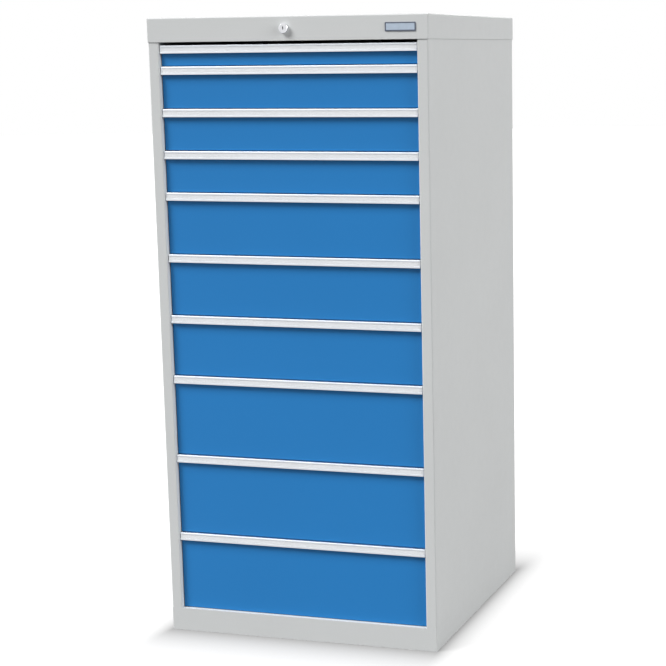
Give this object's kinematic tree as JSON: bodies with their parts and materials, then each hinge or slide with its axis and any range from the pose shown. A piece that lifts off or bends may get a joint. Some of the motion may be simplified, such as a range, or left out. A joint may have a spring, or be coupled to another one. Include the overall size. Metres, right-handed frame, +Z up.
{
  "type": "drawer cabinet",
  "caption": "Tall grey sheet-steel cabinet with a stack of blue drawers that deepen downwards, full-width aluminium grip strips and one central lock in the hood.",
  "frame": {"origin": "on the floor, under the middle of the cabinet's body", "axes": "+Z up, +X to the right seen from the front, and the drawers open towards -Y"},
  "size_m": [0.706, 0.736, 1.518],
  "materials": {
    "housing_grey": "light grey powder coat, fine texture, low sheen",
    "front_blue": "mid blue powder coat, satin",
    "handle_aluminium": "natural anodised extrusion, satin",
    "tray_grey": "light grey powder coat, satin",
    "runner_zinc": "bright zinc plate",
    "lock_chrome": "polished chrome plate",
    "bar_steel": "bright zinc plate"
  },
  "bodies": {
    "cabinet": {"side_panel_left": "housing_grey", "side_panel_right": "housing_grey", "back_panel": "housing_grey", "top_cover": "housing_grey", "base_tray": "housing_grey", "rail_posts": "tray_grey", "cabinet_rails": "runner_zinc", "lock_housing": "lock_chrome"},
    "drawer_01": {"drawer_front_01": "front_blue", "handle_strip_01": "handle_aluminium", "drawer_tray_01": "tray_grey", "drawer_runners_01": "runner_zinc"},
    "carriage_01": {"roller_carriage_01": "runner_zinc"},
    "drawer_02": {"drawer_front_02": "front_blue", "handle_strip_02": "handle_aluminium", "drawer_tray_02": "tray_grey", "drawer_runners_02": "runner_zinc"},
    "carriage_02": {"roller_carriage_02": "runner_zinc"},
    "drawer_03": {"drawer_front_03": "front_blue", "handle_strip_03": "handle_aluminium", "drawer_tray_03": "tray_grey", "drawer_runners_03": "runner_zinc"},
    "carriage_03": {"roller_carriage_03": "runner_zinc"},
    "drawer_04": {"drawer_front_04": "front_blue", "handle_strip_04": "handle_aluminium", "drawer_tray_04": "tray_grey", "drawer_runners_04": "runner_zinc"},
    "carriage_04": {"roller_carriage_04": "runner_zinc"},
    "drawer_05": {"drawer_front_05": "front_blue", "handle_strip_05": "handle_aluminium", "drawer_tray_05": "tray_grey", "drawer_runners_05": "runner_zinc"},
    "carriage_05": {"roller_carriage_05": "runner_zinc"},
    "drawer_06": {"drawer_front_06": "front_blue", "handle_strip_06": "handle_aluminium", "drawer_tray_06": "tray_grey", "drawer_runners_06": "runner_zinc"},
    "carriage_06": {"roller_carriage_06": "runner_zinc"},
    "drawer_07": {"drawer_front_07": "front_blue", "handle_strip_07": "handle_aluminium", "drawer_tray_07": "tray_grey", "drawer_runners_07": "runner_zinc"},
    "carriage_07": {"roller_carriage_07": "runner_zinc"},
    "drawer_08": {"drawer_front_08": "front_blue", "handle_strip_08": "handle_aluminium", "drawer_tray_08": "tray_grey", "drawer_runners_08": "runner_zinc"},
    "carriage_08": {"roller_carriage_08": "runner_zinc"},
    "drawer_09": {"drawer_front_09": "front_blue", "handle_strip_09": "handle_aluminium", "drawer_tray_09": "tray_grey", "drawer_runners_09": "runner_zinc"},
    "carriage_09": {"roller_carriage_09": "runner_zinc"},
    "drawer_10": {"drawer_front_10": "front_blue", "handle_strip_10": "handle_aluminium", "drawer_tray_10": "tray_grey", "drawer_runners_10": "runner_zinc"},
    "carriage_10": {"roller_carriage_10": "runner_zinc"},
    "lock_bar": {"lock_bar": "bar_steel"},
    "lock_plug": {"lock_plug": "lock_chrome"}
  },
  "joints": [
    {"name": "drawer_01_slide", "type": "slide", "parent": "cabinet", "child": "drawer_01", "axis": [0, -1, 0], "range_m": [0, 0.63]},
    {"name": "carriage_01_slide", "type": "slide", "parent": "cabinet", "child": "carriage_01", "axis": [0, -1, 0], "range_m": [0, 0.315]},
    {"name": "drawer_02_slide", "type": "slide", "parent": "cabinet", "child": "drawer_02", "axis": [0, -1, 0], "range_m": [0, 0.63]},
    {"name": "carriage_02_slide", "type": "slide", "parent": "cabinet", "child": "carriage_02", "axis": [0, -1, 0], "range_m": [0, 0.315]},
    {"name": "drawer_03_slide", "type": "slide", "parent": "cabinet", "child": "drawer_03", "axis": [0, -1, 0], "range_m": [0, 0.63]},
    {"name": "carriage_03_slide", "type": "slide", "parent": "cabinet", "child": "carriage_03", "axis": [0, -1, 0], "range_m": [0, 0.315]},
    {"name": "drawer_04_slide", "type": "slide", "parent": "cabinet", "child": "drawer_04", "axis": [0, -1, 0], "range_m": [0, 0.63]},
    {"name": "carriage_04_slide", "type": "slide", "parent": "cabinet", "child": "carriage_04", "axis": [0, -1, 0], "range_m": [0, 0.315]},
    {"name": "drawer_05_slide", "type": "slide", "parent": "cabinet", "child": "drawer_05", "axis": [0, -1, 0], "range_m": [0, 0.63]},
    {"name": "carriage_05_slide", "type": "slide", "parent": "cabinet", "child": "carriage_05", "axis": [0, -1, 0], "range_m": [0, 0.315]},
    {"name": "drawer_06_slide", "type": "slide", "parent": "cabinet", "child": "drawer_06", "axis": [0, -1, 0], "range_m": [0, 0.63]},
    {"name": "carriage_06_slide", "type": "slide", "parent": "cabinet", "child": "carriage_06", "axis": [0, -1, 0], "range_m": [0, 0.315]},
    {"name": "drawer_07_slide", "type": "slide", "parent": "cabinet", "child": "drawer_07", "axis": [0, -1, 0], "range_m": [0, 0.63]},
    {"name": "carriage_07_slide", "type": "slide", "parent": "cabinet", "child": "carriage_07", "axis": [0, -1, 0], "range_m": [0, 0.315]},
    {"name": "drawer_08_slide", "type": "slide", "parent": "cabinet", "child": "drawer_08", "axis": [0, -1, 0], "range_m": [0, 0.63]},
    {"name": "carriage_08_slide", "type": "slide", "parent": "cabinet", "child": "carriage_08", "axis": [0, -1, 0], "range_m": [0, 0.315]},
    {"name": "drawer_09_slide", "type": "slide", "parent": "cabinet", "child": "drawer_09", "axis": [0, -1, 0], "range_m": [0, 0.63]},
    {"name": "carriage_09_slide", "type": "slide", "parent": "cabinet", "child": "carriage_09", "axis": [0, -1, 0], "range_m": [0, 0.315]},
    {"name": "drawer_10_slide", "type": "slide", "parent": "cabinet", "child": "drawer_10", "axis": [0, -1, 0], "range_m": [0, 0.63]},
    {"name": "carriage_10_slide", "type": "slide", "parent": "cabinet", "child": "carriage_10", "axis": [0, -1, 0], "range_m": [0, 0.315]},
    {"name": "lock_bar_lift", "type": "slide", "parent": "cabinet", "child": "lock_bar", "axis": [0, 0, 1], "range_m": [0, 0.00989]},
    {"name": "lock_turn", "type": "hinge", "parent": "cabinet", "child": "lock_plug", "pos_m": [0, -0.3635, 1.49], "axis": [0, 1, 0], "range_deg": [0, 90]}
  ],
  "couplings": [
    {"joint": "carriage_01_slide", "follows": "drawer_01_slide", "ratio": 0.5},
    {"joint": "carriage_02_slide", "follows": "drawer_02_slide", "ratio": 0.5},
    {"joint": "carriage_03_slide", "follows": "drawer_03_slide", "ratio": 0.5},
    {"joint": "carriage_04_slide", "follows": "drawer_04_slide", "ratio": 0.5},
    {"joint": "carriage_05_slide", "follows": "drawer_05_slide", "ratio": 0.5},
    {"joint": "carriage_06_slide", "follows": "drawer_06_slide", "ratio": 0.5},
    {"joint": "carriage_07_slide", "follows": "drawer_07_slide", "ratio": 0.5},
    {"joint": "carriage_08_slide", "follows": "drawer_08_slide", "ratio": 0.5},
    {"joint": "carriage_09_slide", "follows": "drawer_09_slide", "ratio": 0.5},
    {"joint": "carriage_10_slide", "follows": "drawer_10_slide", "ratio": 0.5},
    {"joint": "lock_turn", "follows": "lock_bar_lift", "rad_per_m": 158.67}
  ]
}
